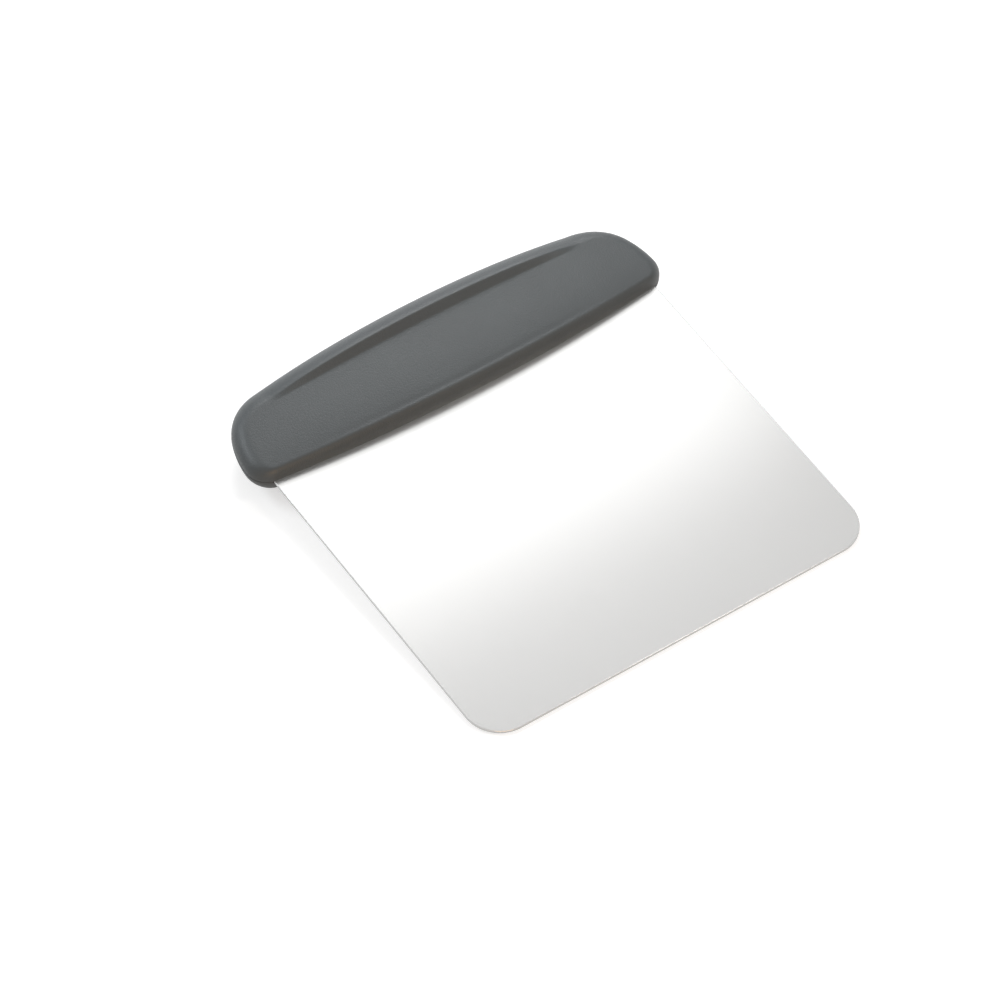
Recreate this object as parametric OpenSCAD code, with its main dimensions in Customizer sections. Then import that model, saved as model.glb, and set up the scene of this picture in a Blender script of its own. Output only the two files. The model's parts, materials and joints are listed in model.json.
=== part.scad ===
// Bowl and bench scraper: one flat steel blade held in a moulded handle of two shells.
// Lengths are in millimetres. The handle's length runs along X, the blade's front edge lies at the -Y side.
// The scraper is drawn as it lies on a table: on its front edge and on the crest under the handle.

/* [Blade] */
// Width of the blade along its front edge
blade_w = 120; // [100:1:150]
// Length of the bare blade at the middle, from its front edge to the nose of the handle
blade_reach = 93.7; // [70:0.1:130]
// Thickness of the steel sheet
sheet_t = 0.9; // [0.6:0.1:1.4]
// Radius of the two front corners of the blade
front_corner_r = 10; // [3:1:25]
// Length of the tang that the handle hides, at the middle
tang_len = 20; // [15:0.5:22]
// Radius of the two corners of the tang
tang_corner_r = 12; // [8:1:20]

/* [Handle outline] */
// How far the handle stands out past each side of the blade
end_overhang = 4.6; // [4:0.1:8]
// Depth of the handle at the middle, from its nose to its back
handle_depth = 32.6; // [30:0.1:40]
// How far the nose bows towards the front edge over half the blade's width
nose_bow = 3.2; // [1:0.1:5]
// How far the back arches over half the blade's width
back_arch = 4.8; // [2:0.1:8]
// Distance from the nose to the centre line of the blunt ends' arcs
end_setback = 8; // [7:0.1:12]
// Radius of the blunt ends
end_r = 30; // [25:1:60]
// Radius of the shoulders between the ends and the back
shoulder_r = 16; // [10:1:18]
// Radius of the corners between the ends and the nose
nose_corner_r = 6.5; // [5:0.1:7.5]

/* [Handle section] */
// Height of the grip face above the sheet's middle plane, at the nose
nose_h = 5.2; // [4.5:0.1:8]
// Height of the grip face above the sheet's middle plane, at the foot of the ridge
foot_h = 6.7; // [5:0.1:9]
// How much the grip face swells between the nose and the foot of the ridge
face_crown = 0.35; // [0:0.05:1]
// Distance from the nose to the foot of the ridge, at the middle
foot_setback = 22.4; // [20:0.1:24]
// How far the foot of the ridge arches over half the blade's width
foot_arch = 1; // [0:0.1:2]
// How far the crest of the ridge arches over half the blade's width
crest_arch = 2.6; // [1:0.1:4]
// Distance from the middle at which the ridge has faded out
ridge_half = 48; // [35:1:60]
// How far the ridge rises over its foot, at the middle
ridge_rise = 2.1; // [0.5:0.1:3]
// How much lower the grip face lies at the ends than at the middle
end_drop = 2; // [1.5:0.1:2.5]
// Depth of the rounded nose
nose_depth = 1.6; // [1.5:0.1:3]
// Depth of the rounded ends
end_depth = 4.2; // [3:0.1:5]
// Depth of the slope between the crest of the ridge and the back edge, at the middle
slope_depth = 8.1; // [6:0.1:9]
// Squareness of the nose, where 2 is an ellipse
nose_squareness = 2; // [1.8:0.1:4]
// Squareness of the ends, where 2 is an ellipse
end_squareness = 2.2; // [2:0.1:3]
// Squareness of the sloping back, where 1 is a flat bevel
slope_squareness = 1.6; // [1.2:0.05:2]
// Chamfer on the parting edge of each shell
seam_chamfer = 0.25; // [0.1:0.05:0.5]

/* [Inside the shells] */
// Thickness of the moulded walls
wall = 2; // [1.5:0.1:2.3]
// Number of pegs that hold the tang
peg_count = 4; // [2:1:5]
// Spacing of the pegs along the handle
peg_pitch = 30; // [20:1:35]
// Distance from the nose to the line of pegs
peg_setback = 11; // [9:0.5:12]
// Diameter of the pegs
peg_d = 5; // [3:0.1:6]
// How far the pegs reach past the tang into their sockets
peg_reach = 2.4; // [1.5:0.1:2.6]
// Thickness of material left around a socket
boss_wall = 2; // [1.5:0.1:3]
// Clearance around a peg in its socket
socket_fit = 0.1; // [0.05:0.05:0.2]
// Clearance around a peg in its hole through the tang
hole_fit = 0.3; // [0.1:0.05:0.5]
// Clearance around the edges of the tang, and between the lips and the sheet
slot_fit = 0.1; // [0.05:0.05:0.2]

/* [Hidden] */
steel = [0.83, 0.84, 0.84];
grey = [0.36, 0.38, 0.39];

half_w = blade_w / 2;
half_len = half_w + end_overhang;
nose_y = blade_reach;
back_y = nose_y + handle_depth;
foot_y = nose_y + foot_setback;
tang_y = nose_y + tang_len;
peg_y = nose_y + peg_setback;
half_sheet = sheet_t / 2;
ridge_slope = ridge_rise / max(1, back_y - slope_depth - foot_y);

// Steps along each arc of half the outline: nose and corner in front, then end, shoulder and back behind
nose_steps = 11;
corner_steps = 10;
end_steps = 5;
shoulder_steps = 7;
back_steps = 9;
// Rows of points from the parting edge up to the grip face
rise_rows = 8;
// How far the middle line of the grip face stops short of the tips
spine_pull = 0.16;
// Least share of the way from the crest to the middle line that the foot of the ridge takes
least_foot = 0.12;

// Radius of an arc that is chord_half wide to one side and bulges by bulge
function arc_radius(chord_half, bulge) = (chord_half * chord_half + bulge * bulge) / (2 * bulge);
function heading(v) = atan2(v.y, v.x);
function mix(a, b, share) = a + (b - a) * share;

// Where two circles about p and q meet, or come nearest: left of the way from p to q for side 1, right for side -1
function meet(p, radius_p, q, radius_q, side) =
    let(gap = norm(q - p))
    let(along = (q - p) / gap)
    let(reach = (radius_p * radius_p - radius_q * radius_q + gap * gap) / (2 * gap))
    let(aside = sqrt(max(0, radius_p * radius_p - reach * reach)))
    p + reach * along + side * aside * [-along.y, along.x];

nose_r = arc_radius(half_w, nose_bow);
back_r = arc_radius(half_w, back_arch);
nose_c = [0, nose_y + nose_r];
back_c = [0, back_y - back_r];
end_c = [half_len - end_r, nose_y + end_setback];
corner_c = meet(nose_c, nose_r - nose_corner_r, end_c, end_r - nose_corner_r, 1);
shoulder_c = meet(back_c, back_r - shoulder_r, end_c, end_r - shoulder_r, -1);
nose_end = heading(corner_c - nose_c);
corner_end = heading(corner_c - end_c);
shoulder_start = heading(shoulder_c - end_c);
shoulder_end = heading(shoulder_c - back_c);

// Points of one arc after its first, each as its place and the way inwards: [x, y, in_x, in_y]
function arc(centre, radius, from, to, steps) =
    [for (i = [1:steps])
        let(a = mix(from, to, i / steps))
        [centre.x + radius * cos(a), centre.y + radius * sin(a), -cos(a), -sin(a)]];

function mirrored(p) = [-p[0], p[1], -p[2], p[3]];
// A side of the outline from its left tip to its right tip, out of its right half from the middle to the tip
function whole_side(middle, half) =
    concat([for (i = [len(half) - 1:-1:0]) mirrored(half[i])], [middle], half);

front_side = whole_side(
    [0, nose_y, 0, 1],
    concat(
        arc(nose_c, nose_r, -90, nose_end, nose_steps),
        arc(corner_c, nose_corner_r, nose_end, corner_end, corner_steps)));
back_side = whole_side(
    [0, back_y, 0, -1],
    concat(
        arc(back_c, back_r, 90, shoulder_end, back_steps),
        arc(shoulder_c, shoulder_r, shoulder_end, shoulder_start, shoulder_steps),
        arc(end_c, end_r, shoulder_start, corner_end, end_steps)));
columns = len(back_side) - 1;
ring_count = 2 * columns;

// One closed ring: the back from left to right, then the front from right to left
outline = concat(back_side, [for (i = [columns - 1:-1:1]) front_side[i]]);

function inset(p, depth) = [p[0] + depth * p[2], p[1] + depth * p[3]];

// A value for a place on the outline, out of its values at the nose, at the ends and at the back
function by_side(p, at_nose, at_end, at_back) =
    let(nose_share = pow(max(0, p[3]), 2))
    let(back_share = pow(max(0, -p[3]), 2))
    at_nose * nose_share + at_back * back_share + at_end * (1 - nose_share - back_share);

function end_drop_at(x) = end_drop * pow(x / half_len, 2);
function foot_at(x) = foot_y - foot_arch * pow(x / half_w, 2);
function ridge_slope_at(x) = ridge_slope * max(0, 1 - pow(x / ridge_half, 6));

// Height of the grip face, with its crown, the ridge behind its foot and the drop towards the ends
function face_z(p) =
    let(share = (p.y - nose_y) / foot_setback)
    let(inside = min(1, max(0, share)))
    mix(nose_h, foot_h, min(1, share)) + 4 * face_crown * inside * (1 - inside)
        + ridge_slope_at(p.x) * max(0, p.y - foot_at(p.x)) - end_drop_at(p.x);

// How far the rise over an outline point leads inwards; the crest arches less than the back
function rise_depth(p) =
    by_side(p, nose_depth, end_depth, slope_depth - (back_arch - crest_arch) * pow(p[0] / half_w, 2));

// The top of the rise over an outline point
function rise_top(p) = inset(p, rise_depth(p));

// A point of the rounded rise: row 0 is just over the parting plane and row rise_rows is on the grip face
function rise_point(p, row) =
    let(power = 2 / by_side(p, nose_squareness, end_squareness, slope_squareness))
    let(turn = 90 * row / rise_rows)
    let(flat = inset(p, rise_depth(p) * (1 - pow(cos(turn), power))))
    let(full = face_z(rise_top(p)) + end_drop_at(rise_top(p).x) - end_drop_at(flat.x))
    [flat.x, flat.y, mix(seam_chamfer, full, pow(sin(turn), power))];

// Straight middle line of the grip face, shorter than the face itself
spine_y = (nose_y + nose_depth + back_y - slope_depth) / 2;
spine = [for (i = [0:columns])
    let(middle_x = (rise_top(front_side[i]).x + rise_top(back_side[i]).x) / 2)
    [middle_x * (1 - spine_pull * pow(middle_x / half_len, 4)), spine_y]];

function spine_of(i) = spine[i <= columns ? i : ring_count - i];

// Share of the way to the middle line at which the ridge has its foot; on the front side it has none
function foot_share(i) =
    let(top = rise_top(outline[i]))
    let(way = top.y - spine_of(i).y)
    way > 0 ? max(least_foot, (top.y - foot_at(top.x)) / way) : least_foot;

function on_face(p) = [p.x, p.y, face_z(p)];
function face_point(i, share) = on_face(mix(rise_top(outline[i]), spine_of(i), share));

seam_row = [for (p = outline) [inset(p, seam_chamfer).x, inset(p, seam_chamfer).y, 0]];
rise_row_list = [for (row = [0:rise_rows], p = outline) rise_point(p, row)];
ridge_row = [for (i = [0:ring_count - 1]) face_point(i, foot_share(i) / 2)];
foot_row = [for (i = [0:ring_count - 1]) face_point(i, foot_share(i))];
face_row = [for (i = [0:ring_count - 1]) face_point(i, (1 + foot_share(i)) / 2)];
shell_points = concat(seam_row, rise_row_list, ridge_row, foot_row, face_row, [for (p = spine) on_face(p)]);
last_ring = rise_rows + 4;
spine_start = (last_ring + 1) * ring_count;

function ring_index(row, i) = row * ring_count + i % ring_count;
function spine_index(i) = spine_start + (i <= columns ? i : ring_count - i);
function two_triangles(a, b, c, d) = [[a, b, c], [a, c, d]];

shell_faces = concat(
    [[for (i = [ring_count - 1:-1:0]) i]],
    [for (row = [0:last_ring - 1], i = [0:ring_count - 1])
        each two_triangles(
            ring_index(row, i), ring_index(row, i + 1), ring_index(row + 1, i + 1), ring_index(row + 1, i))],
    [for (i = [0:ring_count - 1])
        each two_triangles(ring_index(last_ring, i), ring_index(last_ring, i + 1), spine_index(i + 1), spine_index(i))]);

// How the scraper lies: the crest under the handle and the front edge both touch the table
rest_tilt = atan(max([for (p = shell_points) (p.z - half_sheet) / p.y]));
reach_front = -half_sheet * sin(rest_tilt);
reach_back = max([for (p = shell_points) p.y * cos(rest_tilt) + p.z * sin(rest_tilt)]);

module as_it_lies() {
    translate([0, -(reach_front + reach_back) / 2, half_sheet * cos(rest_tilt)]) rotate([rest_tilt, 0, 0]) children();
}

// Plan of the sheet, grown by margin, with true round corners
module sheet_plan(margin) {
    front_r = front_corner_r + margin;
    tang_r = tang_corner_r + margin;
    side = half_w + margin;
    translate([-side, front_r - margin]) square([2 * side, tang_y + 2 * margin - front_r - tang_r]);
    translate([front_r - side, -margin]) square([2 * (side - front_r), front_r + 1]);
    translate([tang_r - side, tang_y + margin - tang_r - 1]) square([2 * (side - tang_r), tang_r + 1]);
    for (x = [front_corner_r - half_w, half_w - front_corner_r]) {
        translate([x, front_corner_r]) circle(r = front_r, $fn = 96);
    }
    for (x = [tang_corner_r - half_w, half_w - tang_corner_r]) {
        translate([x, tang_y - tang_corner_r]) circle(r = tang_r, $fn = 96);
    }
}

peg_places = [for (i = [0:peg_count - 1]) (i - (peg_count - 1) / 2) * peg_pitch];

module at_pegs() {
    for (x = peg_places) {
        translate([x, peg_y, 0]) children();
    }
}

module grip_solid() {
    polyhedron(points = shell_points, faces = shell_faces, convexity = 6);
}

// Height of a pocket's roof, one wall under the grip face over the pocket's side that is nearer an end
function roof_z(far_x, y) =
    mix(nose_h, foot_h, (y - nose_y) / foot_setback) - end_drop * pow(far_x / half_len, 2) - wall;

// Half the pocket of one pair of pegs: what is left between two bosses
pocket_w = peg_pitch - peg_d - 2 * (socket_fit + boss_wall);
pocket_front = nose_y + nose_bow + nose_depth + wall;

// Depth of the back wall, measured where the slope is about half way up
back_wall = wall + slope_depth / 2;

function back_at(x) = back_c.y + sqrt(back_r * back_r - x * x);

// One cored pocket between two bosses, open towards the sheet
module pocket(centre_x) {
    far_x = abs(centre_x) + pocket_w / 2;
    back = back_at(far_x) - back_wall;
    translate([centre_x - pocket_w / 2, 0, 0]) rotate([90, 0, 90]) linear_extrude(pocket_w) polygon([
        [pocket_front, -1],
        [back, -1],
        [back, roof_z(far_x, min(back, foot_y))],
        [pocket_front, roof_z(far_x, pocket_front)]]);
}

// What both shells share: the grip, cored between the bosses, with the slot for the sheet
module bare_shell() {
    difference() {
        grip_solid();
        translate([0, 0, -1]) linear_extrude(1 + half_sheet) sheet_plan(slot_fit);
        for (i = [0:peg_count - 2]) {
            pocket(peg_places[i] + peg_pitch / 2);
        }
    }
}

module blade() {
    color(steel) as_it_lies() difference() {
        translate([0, 0, -half_sheet]) linear_extrude(sheet_t) sheet_plan(0);
        at_pegs() translate([0, 0, -sheet_t]) cylinder(d = peg_d + 2 * hole_fit, h = 2 * sheet_t, $fn = 64);
    }
}

module handle_upper_shell() {
    color(grey) as_it_lies() union() {
        bare_shell();
        at_pegs() translate([0, 0, -half_sheet - peg_reach])
            cylinder(d = peg_d, h = sheet_t + peg_reach + 1, $fn = 64);
    }
}

module handle_lower_shell() {
    color(grey) as_it_lies() mirror([0, 0, 1]) difference() {
        bare_shell();
        at_pegs() cylinder(d = peg_d + 2 * socket_fit, h = half_sheet + peg_reach + socket_fit, $fn = 64);
    }
}

blade();
handle_upper_shell();
handle_lower_shell();
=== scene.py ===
"""A bowl and bench scraper: a flat steel blade in a moulded grip of two shells, lying on a white table.

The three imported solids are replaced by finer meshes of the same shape, in the same place, with the small
roundings that the plain solids leave out. The meshes are built level, in millimetres, with the sheet's middle
plane at height 0 and its front edge at y = 0. They are then laid down as the scraper lies, in metres.
"""

import json
import math

import bmesh
import bpy
import numpy as np
from mathutils import Matrix, Vector


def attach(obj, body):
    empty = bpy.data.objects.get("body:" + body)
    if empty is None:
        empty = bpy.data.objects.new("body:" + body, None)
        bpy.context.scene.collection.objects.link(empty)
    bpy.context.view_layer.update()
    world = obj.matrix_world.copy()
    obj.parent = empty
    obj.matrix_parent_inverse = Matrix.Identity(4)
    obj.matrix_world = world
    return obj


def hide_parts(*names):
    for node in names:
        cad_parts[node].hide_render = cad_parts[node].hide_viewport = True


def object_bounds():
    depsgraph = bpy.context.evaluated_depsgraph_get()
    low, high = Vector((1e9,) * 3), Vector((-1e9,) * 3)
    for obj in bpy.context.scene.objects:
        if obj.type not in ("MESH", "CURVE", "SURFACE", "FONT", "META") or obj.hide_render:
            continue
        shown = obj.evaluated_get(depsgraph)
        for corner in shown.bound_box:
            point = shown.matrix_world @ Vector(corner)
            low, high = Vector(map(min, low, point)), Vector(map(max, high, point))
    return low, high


MM = 0.001

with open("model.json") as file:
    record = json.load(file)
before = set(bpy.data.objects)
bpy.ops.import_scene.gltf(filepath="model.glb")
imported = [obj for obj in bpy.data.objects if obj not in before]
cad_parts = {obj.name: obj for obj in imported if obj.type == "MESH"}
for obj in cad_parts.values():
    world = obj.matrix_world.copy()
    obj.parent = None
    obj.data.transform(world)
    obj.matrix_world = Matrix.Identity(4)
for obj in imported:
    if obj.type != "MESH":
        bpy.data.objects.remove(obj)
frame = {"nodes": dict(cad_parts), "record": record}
cad_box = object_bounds()

# Sizes of the part, the same as in its source
BLADE_W = 120.0
BLADE_REACH = 93.7
SHEET_T = 0.9
FRONT_CORNER_R = 10.0
TANG_LEN = 20.0
TANG_CORNER_R = 12.0
END_OVERHANG = 4.6
HANDLE_DEPTH = 32.6
NOSE_BOW = 3.2
BACK_ARCH = 4.8
END_SETBACK = 8.0
END_R = 30.0
SHOULDER_R = 16.0
NOSE_CORNER_R = 6.5
NOSE_H = 5.2
FOOT_H = 6.7
FACE_CROWN = 0.35
FOOT_SETBACK = 22.4
FOOT_ARCH = 1.0
CREST_ARCH = 2.6
RIDGE_HALF = 48.0
RIDGE_RISE = 2.1
END_DROP = 2.0
NOSE_DEPTH = 1.6
END_DEPTH = 4.2
SLOPE_DEPTH = 8.1
NOSE_SQUARENESS = 2.0
END_SQUARENESS = 2.2
SLOPE_SQUARENESS = 1.6
SEAM_CHAMFER = 0.25
WALL = 2.0
PEG_COUNT = 4
PEG_PITCH = 30.0
PEG_SETBACK = 11.0
PEG_D = 5.0
PEG_REACH = 2.4
BOSS_WALL = 2.0
SOCKET_FIT = 0.1
HOLE_FIT = 0.3
SLOT_FIT = 0.1

HALF_W = BLADE_W / 2
HALF_LEN = HALF_W + END_OVERHANG
HALF_SHEET = SHEET_T / 2
NOSE_Y = BLADE_REACH
BACK_Y = NOSE_Y + HANDLE_DEPTH
FOOT_Y = NOSE_Y + FOOT_SETBACK
TANG_Y = NOSE_Y + TANG_LEN
PEG_Y = NOSE_Y + PEG_SETBACK
PEG_X = [(i - (PEG_COUNT - 1) / 2) * PEG_PITCH for i in range(PEG_COUNT)]
RIDGE_SLOPE = RIDGE_RISE / (BACK_Y - SLOPE_DEPTH - FOOT_Y)

# The hollows under the grip face; the back wall is measured where the slope is about half way up
POCKET_W = PEG_PITCH - PEG_D - 2 * (SOCKET_FIT + BOSS_WALL)
POCKET_FRONT = NOSE_Y + NOSE_BOW + NOSE_DEPTH + WALL
BACK_WALL = WALL + SLOPE_DEPTH / 2
# How far the cuts start below the parting plane, and how far the pegs run up into their bosses
CUT_BELOW = 1.0
PEG_ROOT = 1.0

# The corners of the sheet: centre, radius and the direction in degrees at which each arc starts
SHEET_CORNERS = [
    (HALF_W - FRONT_CORNER_R, FRONT_CORNER_R, FRONT_CORNER_R, -90),
    (HALF_W - TANG_CORNER_R, TANG_Y - TANG_CORNER_R, TANG_CORNER_R, 0),
    (TANG_CORNER_R - HALF_W, TANG_Y - TANG_CORNER_R, TANG_CORNER_R, 90),
    (FRONT_CORNER_R - HALF_W, FRONT_CORNER_R, FRONT_CORNER_R, 180),
]

# Small forms that the solids leave out: the breaks along the sheet's edges, a slight hollow in the grip face
# before the ridge, and a narrow lip just behind the nose, which starts out level and fades towards the ends
EDGE_BREAK = 0.18
FACE_HOLLOW = 0.9
LIP_SLOPE = 0.17
LIP_REACH = 1.2
LIP_HALF = 50.0

# How the scraper lies: tilted about X, on its front edge and on the crest under the handle, and centred
WORKING_EDGE = next(mount for mount in frame["record"]["mounts"] if mount["name"] == "working_edge")
REST_TILT = math.atan2(-WORKING_EDGE["axis"][2], -WORKING_EDGE["axis"][1])
REST_MID = (cad_box[1][1] - cad_box[0][1]) / 2 / MM - HALF_SHEET * math.sin(REST_TILT)
REST_LIFT = HALF_SHEET * math.cos(REST_TILT)

# Steps along each arc of half the outline
NOSE_STEPS = 44
CORNER_STEPS = 36
END_STEPS = 18
SHOULDER_STEPS = 26
BACK_STEPS = 36
# How far the middle line of the grip face, the spine, stops short of the tips
SPINE_PULL = 0.16
# A spoke leads from the parting edge to the spine: its samples on the rise and on the face, and its points
RISE_SAMPLES = 160
FACE_SAMPLES = 160
SPOKE_POINTS = 52
# Points stand closer where a spoke turns, by this much per radian, averaged over so many samples
TURN_WEIGHT = 0.6
TURN_WINDOW = 9
# Blur along a spoke at the nose, at the ends and at the back: it rounds the crest and fills the ridge's foot
BLUR_NOSE = 0.15
BLUR_END = 0.80
BLUR_BACK = 0.13
# It grows over the first of these lengths from the parting edge, and fades over the second before the spine
BLUR_START = 2.0
BLUR_STOP = 1.5
LEAST_BLUR = 1e-6
# Share of the grip's length that is kept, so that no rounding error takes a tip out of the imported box
KEPT_LENGTH = 0.9998

# Parts of a quarter turn at the sheet's corners, and sides of the pegs, the sockets and the sheet's holes
CORNER_PARTS = 32
PEG_SIDES = 64
HOLE_SIDES = 48
# Where the middle of a broken edge's rounding stands, as a share of the break
BREAK_MIDDLE = 0.29
# Faces of the grip that meet at more than this angle, in degrees, show an edge
SHARP_ANGLE = 34


def at_rest(points):
    """Points of the level model, in mm, laid down as the scraper lies and given in metres."""
    points = np.asarray(points, float)
    cos_tilt, sin_tilt = math.cos(REST_TILT), math.sin(REST_TILT)
    y = points[:, 1] * cos_tilt - points[:, 2] * sin_tilt - REST_MID
    z = points[:, 1] * sin_tilt + points[:, 2] * cos_tilt + REST_LIFT
    return np.column_stack([points[:, 0], y, z]) * MM


def arc_radius(chord_half, bulge):
    """Radius of an arc that is chord_half wide to one side and bulges by bulge."""
    return (chord_half**2 + bulge**2) / (2 * bulge)


NOSE_ARC_R = arc_radius(HALF_W, NOSE_BOW)
BACK_ARC_R = arc_radius(HALF_W, BACK_ARCH)


def meet(p, radius_p, q, radius_q, side):
    """Where two circles about p and q meet, on the left of the way from p to q for side 1."""
    gap = np.linalg.norm(q - p)
    along = (q - p) / gap
    reach = (radius_p**2 - radius_q**2 + gap**2) / (2 * gap)
    aside = math.sqrt(radius_p**2 - reach**2)
    return p + reach * along + side * aside * np.array([-along[1], along[0]])


def heading(v):
    return math.atan2(v[1], v[0])


def arc(centre, radius, start, end, steps):
    """Points of one arc after its first: rows of x, y, in_x, in_y."""
    a = start + (end - start) * np.arange(1, steps + 1) / steps
    return np.column_stack([
        centre[0] + radius * np.cos(a), centre[1] + radius * np.sin(a), -np.cos(a), -np.sin(a)])


def whole_side(middle, half):
    """A side of the outline from its left tip to its right tip, out of its right half."""
    mirrored = half[::-1] * np.array([-1, 1, -1, 1])
    return np.vstack([mirrored, [middle], half])


def outline_sides():
    """The front and the back of the handle's outline, each from its left tip to its right tip."""
    nose_c = np.array([0, NOSE_Y + NOSE_ARC_R])
    back_c = np.array([0, BACK_Y - BACK_ARC_R])
    end_c = np.array([HALF_LEN - END_R, NOSE_Y + END_SETBACK])
    corner_c = meet(nose_c, NOSE_ARC_R - NOSE_CORNER_R, end_c, END_R - NOSE_CORNER_R, 1)
    shoulder_c = meet(back_c, BACK_ARC_R - SHOULDER_R, end_c, END_R - SHOULDER_R, -1)
    nose_end = heading(corner_c - nose_c)
    corner_end = heading(corner_c - end_c)
    shoulder_start = heading(shoulder_c - end_c)
    shoulder_end = heading(shoulder_c - back_c)
    front = whole_side([0, NOSE_Y, 0, 1], np.vstack([
        arc(nose_c, NOSE_ARC_R, -math.pi / 2, nose_end, NOSE_STEPS),
        arc(corner_c, NOSE_CORNER_R, nose_end, corner_end, CORNER_STEPS)]))
    back = whole_side([0, BACK_Y, 0, -1], np.vstack([
        arc(back_c, BACK_ARC_R, math.pi / 2, shoulder_end, BACK_STEPS),
        arc(shoulder_c, SHOULDER_R, shoulder_end, shoulder_start, SHOULDER_STEPS),
        arc(end_c, END_R, shoulder_start, corner_end, END_STEPS)]))
    return front, back


def by_side(p, at_nose, at_end, at_back):
    """A value for a place on the outline, out of its values at the nose, at the ends and at the back."""
    nose_share = max(0.0, p[3]) ** 2
    back_share = max(0.0, -p[3]) ** 2
    return at_nose * nose_share + at_back * back_share + at_end * (1 - nose_share - back_share)


def end_drop_at(x):
    return END_DROP * (x / HALF_LEN) ** 2


def face_z(x, y):
    """Height of the grip face over the sheet's middle plane."""
    share = (y - NOSE_Y) / FOOT_SETBACK
    inside = np.clip(share, 0, 1)
    swell = inside * (1 - inside) * (4 * FACE_CROWN + FACE_HOLLOW * (1 - 2 * inside))
    foot = FOOT_Y - FOOT_ARCH * (x / HALF_W) ** 2
    slope = RIDGE_SLOPE * np.maximum(0, 1 - (x / RIDGE_HALF) ** 6)
    ridge = slope * np.maximum(0, y - foot)
    return NOSE_H + (FOOT_H - NOSE_H) * np.minimum(1, share) + swell + ridge - end_drop_at(x)


def rise_depth(p):
    """How far the rise over an outline point leads inwards; the crest arches less than the back."""
    crest_depth = SLOPE_DEPTH - (BACK_ARCH - CREST_ARCH) * (p[0] / HALF_W) ** 2
    return by_side(p, NOSE_DEPTH, END_DEPTH, crest_depth)


def rise_top(p):
    return p[:2] + rise_depth(p) * p[2:]


def rise_line(p):
    """The rounded rise over outline point p, from just over the parting plane up to its top."""
    depth = rise_depth(p)
    power = 2 / by_side(p, NOSE_SQUARENESS, END_SQUARENESS, SLOPE_SQUARENESS)
    top = rise_top(p)
    turn = np.linspace(0, math.pi / 2, RISE_SAMPLES)
    flat = p[:2] + np.outer(depth * (1 - np.cos(turn) ** power), p[2:])
    full = face_z(*top) + end_drop_at(top[0]) - end_drop_at(flat[:, 0])
    height = SEAM_CHAMFER + (full - SEAM_CHAMFER) * np.sin(turn) ** power
    return np.column_stack([flat, height])


def face_line(p, spine_point):
    """The way over the grip face from the top of the rise to the spine, sunk a little by the lip."""
    top = rise_top(p)
    share = np.linspace(0, 1, FACE_SAMPLES + 1)[1:, None]
    way = top + (spine_point - top) * share
    from_top = np.linalg.norm(way - top, axis=1)
    lip = LIP_SLOPE * max(0.0, p[3]) ** 2 * max(0.0, 1 - (p[0] / LIP_HALF) ** 2)
    lip_z = lip * from_top * np.exp(-((from_top / LIP_REACH) ** 2))
    return np.column_stack([way, face_z(way[:, 0], way[:, 1]) - lip_z])


def measured(line):
    """The length of each step of a line, and how far along the line each of its points lies."""
    step = np.linalg.norm(np.diff(line, axis=0), axis=1)
    return step, np.concatenate([[0], np.cumsum(step)])


def resample(line, at):
    """Points of a line at the given shares of its length."""
    s = measured(line)[1]
    s /= s[-1]
    return np.column_stack([np.interp(at, s, line[:, k]) for k in range(3)])


def blurred(line, s, width):
    """A line with points at s along it, rounded by a blur that leaves both of its ends as they are."""
    start = np.clip(s / BLUR_START, 0, 1)
    stop = np.clip((s[-1] - s) / BLUR_STOP, 0, 1)
    blur = width * start * stop + LEAST_BLUR
    weight = np.exp(-0.5 * ((s[None, :] - s[:, None]) / blur[:, None]) ** 2)
    return (weight / weight.sum(axis=1, keepdims=True)) @ line


def turn_rates(line):
    """The angle by which a line turns at each of its points, averaged over its neighbours."""
    seg = np.diff(line, axis=0)
    seg /= np.linalg.norm(seg, axis=1, keepdims=True)
    turn = np.zeros(len(line))
    turn[1:-1] = np.arccos(np.clip((seg[1:] * seg[:-1]).sum(axis=1), -1, 1))
    return np.convolve(turn, np.ones(TURN_WINDOW) / TURN_WINDOW, "same")


def spoke(p, spine_point):
    """One line over the shell, from the parting edge at outline point p up the rise and over the face."""
    even = np.linspace(0, 1, RISE_SAMPLES + FACE_SAMPLES + 1)
    line = resample(np.vstack([rise_line(p), face_line(p, spine_point)]), even)
    step, s = measured(line)
    line = blurred(line, s, by_side(p, BLUR_NOSE, BLUR_END, BLUR_BACK))
    turn = turn_rates(line)
    density = np.concatenate([[0], np.cumsum(step / s[-1] + TURN_WEIGHT * (turn[1:] + turn[:-1]) / 2)])
    at = np.interp(np.linspace(0, density[-1], SPOKE_POINTS), density, s / s[-1])
    return resample(line, at)


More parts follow.
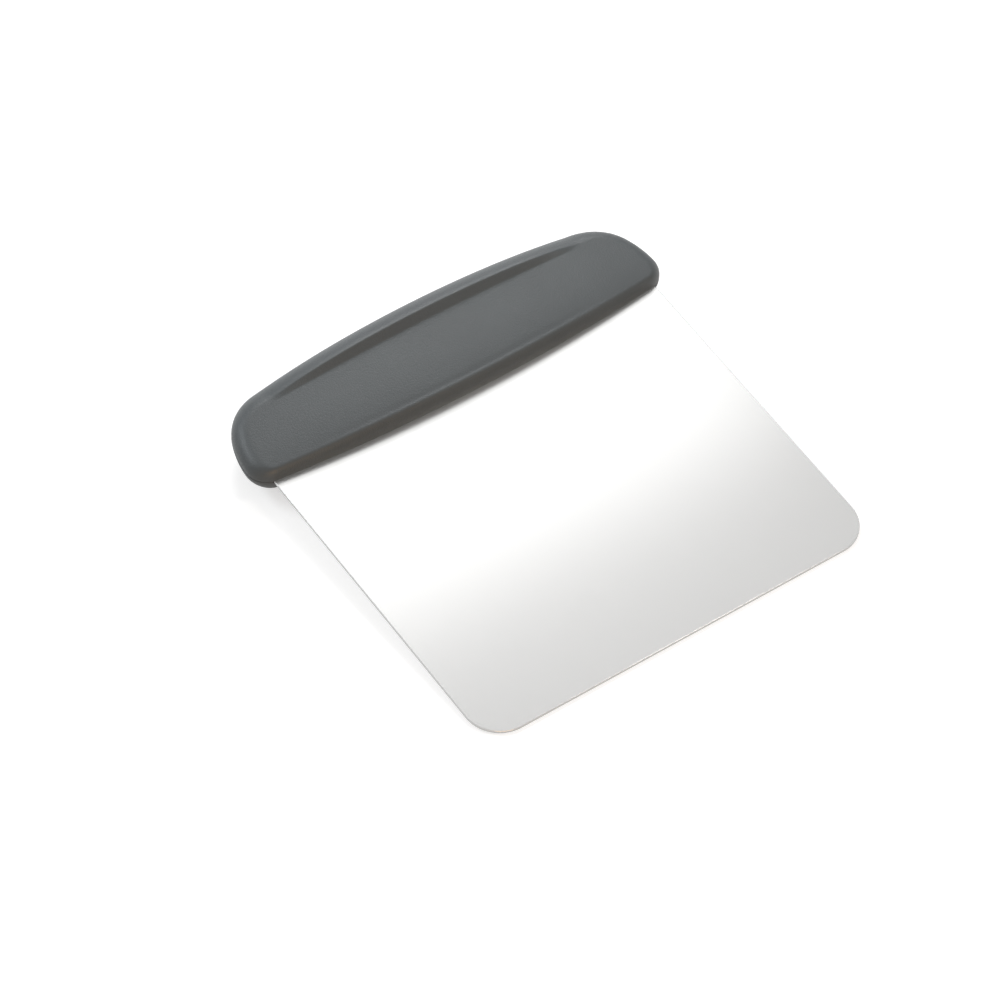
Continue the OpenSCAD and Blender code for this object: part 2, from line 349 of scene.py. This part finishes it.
def grip_mesh():
    """The outside of the upper shell, closed flat on the parting plane, as level points and faces."""
    front, back = outline_sides()
    columns = len(back) - 1
    ring = 2 * columns
    outline = np.vstack([back, front[columns - 1:0:-1]])
    spine = np.array([(rise_top(f) + rise_top(b)) / 2 for f, b in zip(front, back)])
    spine[:, 0] *= 1 - SPINE_PULL * (spine[:, 0] / HALF_LEN) ** 4
    spine[:, 1] = (NOSE_Y + NOSE_DEPTH + BACK_Y - SLOPE_DEPTH) / 2

    def spine_column(i):
        return i if i <= columns else ring - i

    # One column of points over each outline point, and the spine's points last
    points = []
    for i, p in enumerate(outline):
        rim = [*(p[:2] + SEAM_CHAMFER * p[2:]), 0.0]
        line = spoke(p, spine[spine_column(i)])
        points.append(np.vstack([[rim], line[:-1]]))
    rows = len(points[0])
    verts = np.vstack([
        np.stack(points, axis=1).reshape(-1, 3),
        np.column_stack([spine, face_z(spine[:, 0], spine[:, 1])])])
    verts[:, 0] *= KEPT_LENGTH

    faces = [list(range(ring - 1, -1, -1))]
    for row in range(rows - 1):
        for i in range(ring):
            j = (i + 1) % ring
            a, b = row * ring, (row + 1) * ring
            faces.append([a + j, a + i, b + i, b + j])
    last = (rows - 1) * ring
    spine_start = rows * ring
    for i in range(ring):
        j = (i + 1) % ring
        a, b = spine_start + spine_column(i), spine_start + spine_column(j)
        # At a tip the diagonal leads to the end of the spine, so that the two sides share no diagonal
        if i % columns == 0:
            faces += [[last + j, last + i, a], [last + j, a, b]]
        else:
            faces += [[last + j, last + i, b], [last + i, a, b]]
    return verts, faces


def in_scene(name, mesh):
    """A new object in the scene that holds the mesh."""
    obj = bpy.data.objects.new(name, mesh)
    bpy.context.scene.collection.objects.link(obj)
    return obj


def mesh_object(name, verts, faces):
    """A new object out of points and faces, with its faces turned outwards."""
    mesh = bpy.data.meshes.new(name)
    mesh.from_pydata([tuple(v) for v in verts], [], faces)
    mesh.validate()
    bm = bmesh.new()
    bm.from_mesh(mesh)
    bmesh.ops.recalc_face_normals(bm, faces=bm.faces)
    bm.to_mesh(mesh)
    bm.free()
    return in_scene(name, mesh)


def sheet_loop(margin=0.0):
    """The outline of the sheet, grown by margin: rows of x, y, out_x, out_y."""
    rows = []
    for centre_x, centre_y, corner_r, start in SHEET_CORNERS:
        for k in range(CORNER_PARTS + 1):
            a = math.radians(start + 90 * k / CORNER_PARTS)
            x = centre_x + (corner_r + margin) * math.cos(a)
            y = centre_y + (corner_r + margin) * math.sin(a)
            rows.append((x, y, math.cos(a), math.sin(a)))
    return np.array(rows)


def circle_loop(x, radius, sides):
    """A circle on the line of pegs: rows of x, y, out_x, out_y."""
    a = np.linspace(0, 2 * math.pi, sides + 1)[:-1]
    return np.column_stack([x + radius * np.cos(a), PEG_Y + radius * np.sin(a), np.cos(a), np.sin(a)])


def upright(loop, low, high):
    """A closed prism over a loop, as points and faces."""
    n = len(loop)
    points = [(x, y, z) for z in (low, high) for x, y in loop[:, :2]]
    sides = [[i, (i + 1) % n, n + (i + 1) % n, n + i] for i in range(n)]
    return points, [list(range(n)), list(range(n, 2 * n))] + sides


def rod(x, diameter, low, high):
    """A closed upright rod on the line of pegs, as points and faces."""
    return upright(circle_loop(x, diameter / 2, PEG_SIDES), low, high)


def roof_z(far_x, y):
    """Height of a pocket's roof, one wall under the grip face over its side that is nearer an end."""
    level = NOSE_H + (FOOT_H - NOSE_H) * (y - NOSE_Y) / FOOT_SETBACK
    return level - end_drop_at(far_x) - WALL


def pocket(centre_x):
    """One cored pocket between two bosses, open towards the sheet, as points and faces."""
    far_x = abs(centre_x) + POCKET_W / 2
    back = BACK_Y - BACK_ARC_R + math.sqrt(BACK_ARC_R**2 - far_x**2) - BACK_WALL
    section = [
        (POCKET_FRONT, -CUT_BELOW),
        (back, -CUT_BELOW),
        (back, roof_z(far_x, min(back, FOOT_Y))),
        (POCKET_FRONT, roof_z(far_x, POCKET_FRONT)),
    ]
    n = len(section)
    points = [(centre_x + side * POCKET_W / 2, y, z) for side in (-1, 1) for y, z in section]
    sides = [[i, (i + 1) % n, n + (i + 1) % n, n + i] for i in range(n)]
    return points, [list(range(n)), list(range(n, 2 * n))] + sides


def tool_object(name, solids):
    """Separate closed solids as one object."""
    points, faces = [], []
    for solid_points, solid_faces in solids:
        faces += [[len(points) + i for i in face] for face in solid_faces]
        points += [tuple(p) for p in solid_points]
    return mesh_object(name, points, faces)


def shell_object(name, outside, steps, side):
    """A shell: the level outside changed by boolean steps, then laid down; side is -1 for the lower shell."""
    body = mesh_object(name + "_level", *outside)
    tools = []
    for operation, solids in steps:
        tools.append(tool_object(name + "_tool", solids))
        modifier = body.modifiers.new("step", "BOOLEAN")
        modifier.operation = operation
        modifier.solver = "EXACT"
        modifier.object = tools[-1]
    level = bpy.data.meshes.new_from_object(body.evaluated_get(bpy.context.evaluated_depsgraph_get()))
    verts = np.empty(3 * len(level.vertices))
    level.vertices.foreach_get("co", verts)
    faces = [list(face.vertices) for face in level.polygons]
    for helper in [body] + tools:
        bpy.data.objects.remove(helper)
    return mesh_object(name, at_rest(verts.reshape(-1, 3) * np.array([1, 1, side])), faces)


def sheet_object(name):
    """The blade: a flat sheet with a small break on every edge and the peg holes through its tang."""
    inwards = np.array([1, 1, -1, -1])
    holes = [circle_loop(x, PEG_D / 2 + HOLE_FIT, HOLE_SIDES) * inwards for x in PEG_X]
    half = HALF_SHEET
    cut = EDGE_BREAK
    mid = EDGE_BREAK * BREAK_MIDDLE
    # Inset and height, from the flat top over its break to the edge, and on to the flat underside
    profile = [
        (cut, half), (mid, half - mid), (0, half - cut),
        (0, cut - half), (mid, mid - half), (cut, -half)]
    bm = bmesh.new()
    tops, bottoms = [], []
    for loop in [sheet_loop()] + holes:
        rings = []
        for inset, z in profile:
            level = np.column_stack([loop[:, :2] - inset * loop[:, 2:], np.full(len(loop), z)])
            rings.append([bm.verts.new(p) for p in at_rest(level)])
        n = len(loop)
        for upper_ring, lower_ring in zip(rings, rings[1:]):
            for i in range(n):
                j = (i + 1) % n
                bm.faces.new([upper_ring[i], upper_ring[j], lower_ring[j], lower_ring[i]])
        tops += [bm.edges.get([rings[0][i], rings[0][(i + 1) % n]]) for i in range(n)]
        bottoms += [bm.edges.get([rings[-1][i], rings[-1][(i + 1) % n]]) for i in range(n)]
    for edges in (tops, bottoms):
        bmesh.ops.triangle_fill(bm, use_beauty=True, use_dissolve=False, edges=edges)
    bmesh.ops.recalc_face_normals(bm, faces=bm.faces)
    mesh = bpy.data.meshes.new(name)
    bm.to_mesh(mesh)
    bm.free()
    # The edge's four-sided faces are shaded round, and the triangles of the two flat sides flat
    mesh.polygons.foreach_set("use_smooth", [len(face.vertices) == 4 for face in mesh.polygons])
    return in_scene(name, mesh)


def smooth_shading(obj):
    mesh = obj.data
    mesh.polygons.foreach_set("use_smooth", [True] * len(mesh.polygons))
    mesh.set_sharp_from_angle(angle=math.radians(SHARP_ANGLE))


outside = grip_mesh()
slot = upright(sheet_loop(SLOT_FIT), -CUT_BELOW, HALF_SHEET)
pockets = [pocket(x + PEG_PITCH / 2) for x in PEG_X[:-1]]
sockets = [rod(x, PEG_D + 2 * SOCKET_FIT, -CUT_BELOW, HALF_SHEET + PEG_REACH + SOCKET_FIT) for x in PEG_X]
pegs = [rod(x, PEG_D, -HALF_SHEET - PEG_REACH, HALF_SHEET + PEG_ROOT) for x in PEG_X]
upper = shell_object("grip_upper", outside, [
    ("DIFFERENCE", [slot]), ("DIFFERENCE", pockets), ("UNION", pegs)], 1)
lower = shell_object("grip_lower", outside, [
    ("DIFFERENCE", [slot]), ("DIFFERENCE", pockets + sockets)], -1)
blade = sheet_object("steel_blade")
for shell in (upper, lower):
    smooth_shading(shell)


class Nodes:
    """A small helper that adds shader nodes to a material or a world and links them."""

    def __init__(self, owner, output="ShaderNodeOutputMaterial"):
        owner.use_nodes = True
        self.tree = owner.node_tree
        self.tree.nodes.clear()
        self.out = self.tree.nodes.new(output)

    def add(self, kind, inputs=(), **settings):
        node = self.tree.nodes.new(kind)
        for key, value in settings.items():
            setattr(node, key, value)
        for key, value in dict(inputs).items():
            if isinstance(value, bpy.types.NodeSocket):
                self.tree.links.new(value, node.inputs[key])
            else:
                node.inputs[key].default_value = value
        return node

    def surface(self, socket):
        self.tree.links.new(socket, self.out.inputs["Surface"])


WHITE = (1, 1, 1, 1)
GRIP_DARK = (0.056, 0.063, 0.067, 1)
GRIP_LIGHT = (0.062, 0.070, 0.074, 1)
STEEL_COLOR = (0.505, 0.505, 0.50, 1)
# Grey of the table top for light that bounces off it, and for the lamps' light and shadow that are seen on it
FLOOR_BOUNCE = (0.40, 0.40, 0.40, 1)
FLOOR_LIT = (0.62, 0.62, 0.62, 1)
WORLD_LIGHT = 0.40


def grip_material():
    """Matt moulded plastic with a spark-eroded grain of about half a millimetre and slight clouds of tone."""
    mat = bpy.data.materials.new("grip_plastic")
    n = Nodes(mat)
    place = n.add("ShaderNodeTexCoord").outputs["Object"]
    grain = n.add("ShaderNodeTexNoise", {"Vector": place, "Scale": 2000.0, "Detail": 4.0, "Roughness": 0.65})
    fine = n.add("ShaderNodeBump", {"Height": grain.outputs["Fac"], "Strength": 0.9, "Distance": 0.0001})
    cloud = n.add("ShaderNodeTexNoise", {"Vector": place, "Scale": 55.0, "Detail": 2.0, "Roughness": 0.5})
    tone = n.add("ShaderNodeValToRGB", {"Fac": cloud.outputs["Fac"]})
    for stop, position, color in zip(tone.color_ramp.elements, (0.3, 0.7), (GRIP_DARK, GRIP_LIGHT)):
        stop.position = position
        stop.color = color
    rough = n.add("ShaderNodeMapRange", {
        "Value": grain.outputs["Fac"], "From Min": 0.3, "From Max": 0.7, "To Min": 0.39, "To Max": 0.45})
    shader = n.add("ShaderNodeBsdfPrincipled", {
        "Base Color": tone.outputs["Color"], "Roughness": rough.outputs["Result"],
        "Normal": fine.outputs["Normal"], "IOR": 1.43})
    n.surface(shader.outputs["BSDF"])
    return mat


def steel_material():
    """Satin stainless sheet with a very fine grain along its length."""
    mat = bpy.data.materials.new("blade_steel")
    n = Nodes(mat)
    place = n.add("ShaderNodeTexCoord").outputs["Object"]
    drawn = n.add("ShaderNodeMapping", {"Vector": place, "Scale": (3000.0, 60.0, 3000.0)})
    lines = n.add("ShaderNodeTexNoise", {
        "Vector": drawn.outputs["Vector"], "Scale": 1.0, "Detail": 2.0, "Roughness": 0.5})
    rough = n.add("ShaderNodeMapRange", {
        "Value": lines.outputs["Fac"], "From Min": 0.3, "From Max": 0.7, "To Min": 0.21, "To Max": 0.24})
    sheen = n.add("ShaderNodeBsdfPrincipled", {
        "Base Color": STEEL_COLOR, "Metallic": 1.0, "Roughness": rough.outputs["Result"]})
    satin = n.add("ShaderNodeBsdfPrincipled", {"Base Color": STEEL_COLOR, "Metallic": 1.0, "Roughness": 0.55})
    both = n.add("ShaderNodeMixShader", {"Fac": 0.30, 1: sheen.outputs["BSDF"], 2: satin.outputs["BSDF"]})
    n.surface(both.outputs["Shader"])
    return mat


grip = grip_material()
steel = steel_material()
for shell in (upper, lower):
    shell.data.materials.append(grip)
    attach(shell, "root")
blade.data.materials.append(steel)
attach(blade, "root")
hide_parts("handle_upper_shell")
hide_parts("handle_lower_shell")
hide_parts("blade")
for name, material in (("blade", steel), ("handle_upper_shell", grip), ("handle_lower_shell", grip)):
    solid = frame["nodes"][name]
    solid.data.materials.clear()
    solid.data.materials.append(material)


def white_when_seen(n, plain, shown):
    """The plain shader for light that bounces, the shown one for camera, glossy and transmission rays."""
    path = n.add("ShaderNodeLightPath").outputs
    seen = n.add("ShaderNodeMath", {0: path["Is Camera Ray"], 1: path["Is Glossy Ray"]}, operation="MAXIMUM")
    seen = n.add("ShaderNodeMath", {0: seen.outputs[0], 1: path["Is Transmission Ray"]}, operation="MAXIMUM")
    return n.add("ShaderNodeMixShader", {"Fac": seen.outputs[0], 1: plain, 2: shown}).outputs["Shader"]


def make_floor():
    """A plain white table top that goes on past every view, just under the scraper. Lengths are in metres."""
    half = 4.0
    depth = -0.00003
    corners = [(-half, -half, depth), (half, -half, depth), (half, half, depth), (-half, half, depth)]
    floor = mesh_object("floor", corners, [[0, 1, 2, 3]])
    mat = bpy.data.materials.new("floor_white")
    n = Nodes(mat)
    bounce = n.add("ShaderNodeBsdfDiffuse", {"Color": FLOOR_BOUNCE})
    lit = n.add("ShaderNodeBsdfDiffuse", {"Color": FLOOR_LIT})
    # Far from the lamps a glow takes the place of their light
    place = n.add("ShaderNodeTexCoord").outputs["Object"]
    away = n.add("ShaderNodeVectorMath", {0: place}, operation="LENGTH")
    level = n.add("ShaderNodeMapRange", {
        "Value": away.outputs["Value"], "From Min": 0.3, "From Max": 0.9, "To Min": 0.58, "To Max": 1.0})
    glow = n.add("ShaderNodeEmission", {"Color": WHITE, "Strength": level.outputs["Result"]})
    shown = n.add("ShaderNodeAddShader", {0: lit.outputs[0], 1: glow.outputs[0]})
    n.surface(white_when_seen(n, bounce.outputs[0], shown.outputs[0]))
    floor.data.materials.append(mat)


def make_world():
    """A studio that is white to look at and lights the scraper a little from all around."""
    world = bpy.data.worlds.new("studio")
    bpy.context.scene.world = world
    n = Nodes(world, "ShaderNodeOutputWorld")
    light = n.add("ShaderNodeBackground", {"Color": WHITE, "Strength": WORLD_LIGHT})
    shown = n.add("ShaderNodeBackground", {"Color": WHITE, "Strength": 1.0})
    n.surface(white_when_seen(n, light.outputs[0], shown.outputs[0]))


def softbox(name, centre, target, size, radiance, color=(1, 1, 1)):
    """A rectangular lamp at centre, in metres, that faces target, with the given radiance."""
    data = bpy.data.lights.new(name, "AREA")
    data.shape = "RECTANGLE"
    data.size, data.size_y = size
    data.energy = radiance * math.pi * size[0] * size[1]
    data.color = color
    lamp = bpy.data.objects.new(name, data)
    lamp.visible_camera = False
    bpy.context.scene.collection.objects.link(lamp)
    toward = target - centre
    lamp.matrix_world = Matrix.Translation(centre) @ toward.to_track_quat("-Z", "Y").to_matrix().to_4x4()


# The middle of the handle's nose, which the softboxes round the scraper face, in metres
LIT_PLACE = Vector((0, 0.03, 0))


def lit_from(name, toward, distance, size, level, color=(1, 1, 1)):
    """A softbox that lies toward, and lights a surface that faces it as a white sky of that level."""
    centre = LIT_PLACE + Vector(toward).normalized() * distance
    radiance = level * math.pi * distance**2 / (size[0] * size[1])
    softbox(name, centre, LIT_PLACE, size, radiance, color)


def make_lights():
    """Four softboxes round the scraper, and a panel behind it on the right that the steel mirrors."""
    cool = (0.90, 0.96, 1.0)
    warm = (1.0, 0.94, 0.86)
    amber = (1.0, 0.60, 0.28)
    lit_from("key", (0.38, 0.68, 0.62), 0.70, (0.24, 0.24), 0.345)
    lit_from("left_back", (-0.50, 0.62, 0.60), 0.70, (0.24, 0.20), 0.34, cool)
    lit_from("front_top", (0.37, -0.42, 0.82), 0.35, (0.07, 0.07), 0.16, warm)
    lit_from("front_low", (-0.35, -0.93, 0.10), 0.80, (0.60, 0.12), 0.32, amber)
    panel_centre = Vector((0.090, 0.160, 0.230))
    panel_facing = Vector((0, -0.36, -1))
    softbox("panel", panel_centre, panel_centre + panel_facing, (0.220, 0.128), 1.45)


def make_camera():
    """The camera at the photograph's angle: a long lens, held level, looking down from the left front."""
    elevation = math.radians(49.568)
    azimuth = math.radians(-34.614)
    distance = 1289.476 * MM
    # Where the view's centre lies from the origin, to the right and upwards as the camera sees it
    aim_right = -10.721
    aim_up = -4.612
    out = math.cos(elevation)
    back = Vector((math.sin(azimuth) * out, -math.cos(azimuth) * out, math.sin(elevation)))
    right = Vector((math.cos(azimuth), math.sin(azimuth), 0))
    up = back.cross(right)
    target = (right * aim_right + up * aim_up) * MM
    data = bpy.data.cameras.new("camera")
    data.sensor_width = 36.0
    data.lens = 180.0
    data.clip_start = 0.05
    camera = bpy.data.objects.new("camera", data)
    bpy.context.scene.collection.objects.link(camera)
    turn = Matrix((right, up, back)).transposed().to_4x4()
    camera.matrix_world = Matrix.Translation(target + back * distance) @ turn
    bpy.context.scene.camera = camera


make_floor()
make_world()
make_lights()
make_camera()
bpy.context.scene.view_settings.view_transform = "Standard"
